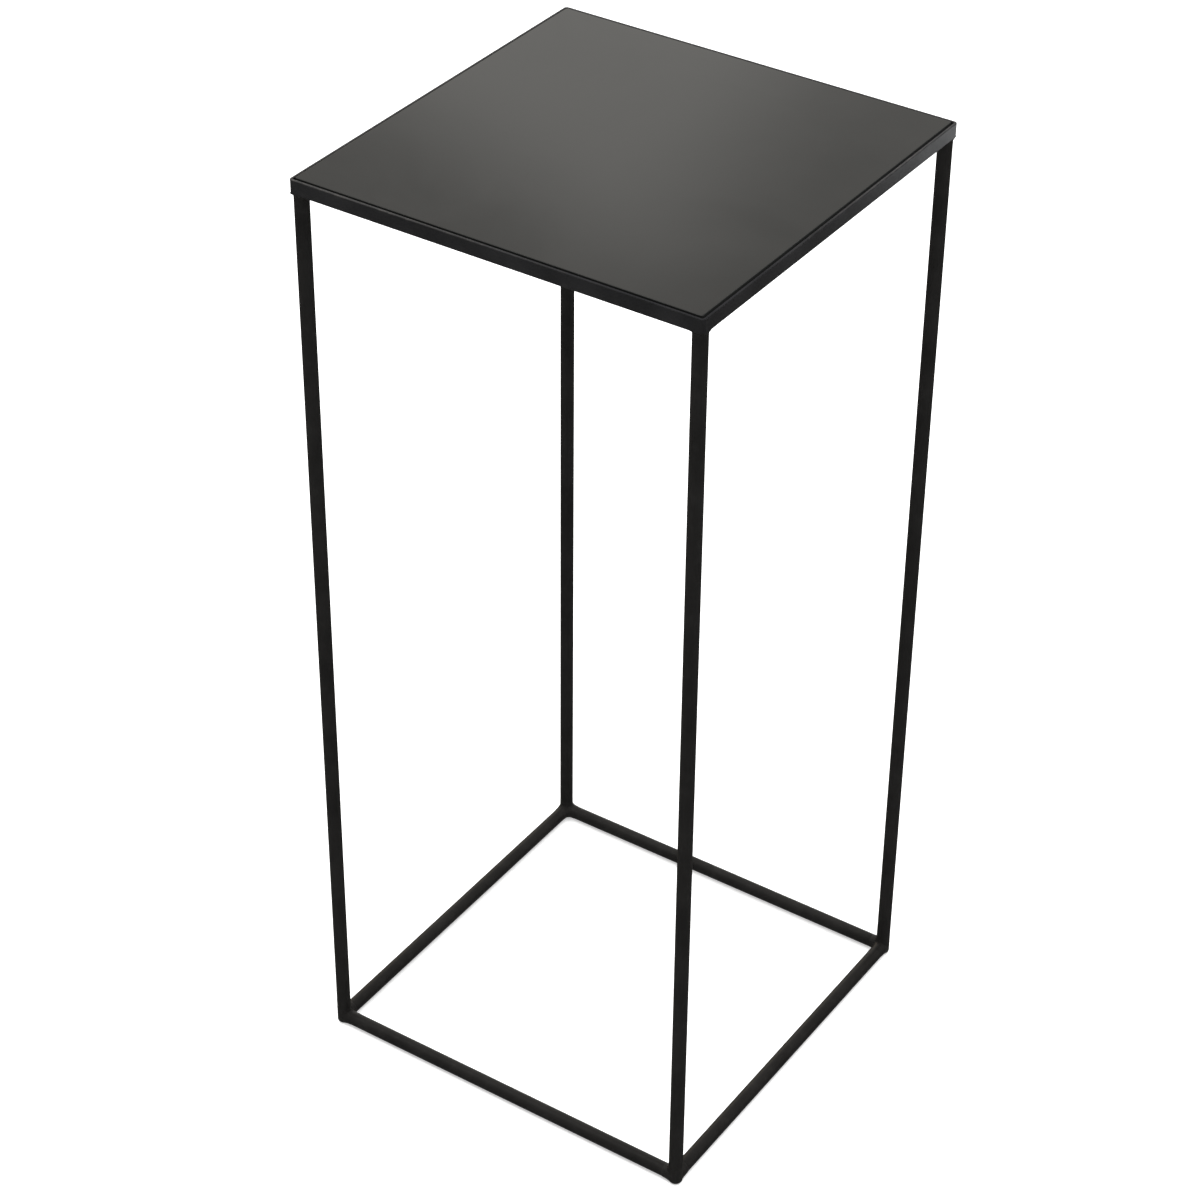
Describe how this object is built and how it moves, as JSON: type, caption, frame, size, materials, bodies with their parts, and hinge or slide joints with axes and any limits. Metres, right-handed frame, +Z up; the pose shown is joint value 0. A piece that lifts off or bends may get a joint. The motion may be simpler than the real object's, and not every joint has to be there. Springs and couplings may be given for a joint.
{
  "type": "display plinth",
  "caption": "Tall open square plinth: slim round-bar legs and floor-level rails carry a shallow angle-section tray with a loose dark glass top.",
  "frame": {"origin": "on the floor, at the middle of the base", "axes": "+Z up, -Y the front side, +X the right side"},
  "size_m": [0.3454, 0.3454, 0.8],
  "materials": {
    "bar_paint": "matt black powder coat",
    "rim_paint": "matt black powder coat",
    "glass_top": "opaque black glass, ground edges",
    "bumper_clear": "milky clear silicone",
    "pad_black": "matt black foam rubber"
  },
  "bodies": {
    "frame": {"leg_front_left": "bar_paint", "leg_front_right": "bar_paint", "leg_back_right": "bar_paint", "leg_back_left": "bar_paint", "base_rail_front": "bar_paint", "base_rail_right": "bar_paint", "base_rail_back": "bar_paint", "base_rail_left": "bar_paint", "top_rail_front": "rim_paint", "top_rail_right": "rim_paint", "top_rail_back": "rim_paint", "top_rail_left": "rim_paint", "bumper_front_left": "bumper_clear", "bumper_front_right": "bumper_clear", "bumper_back_right": "bumper_clear", "bumper_back_left": "bumper_clear", "floor_pad_front_left": "pad_black", "floor_pad_front_right": "pad_black", "floor_pad_back_right": "pad_black", "floor_pad_back_left": "pad_black"},
    "glass": {"glass_panel": "glass_top"}
  },
  "joints": [
    {"name": "glass_lift", "type": "slide", "parent": "frame", "child": "glass", "axis": [0, 0, 1], "range_m": [0, 0.06]}
  ]
}
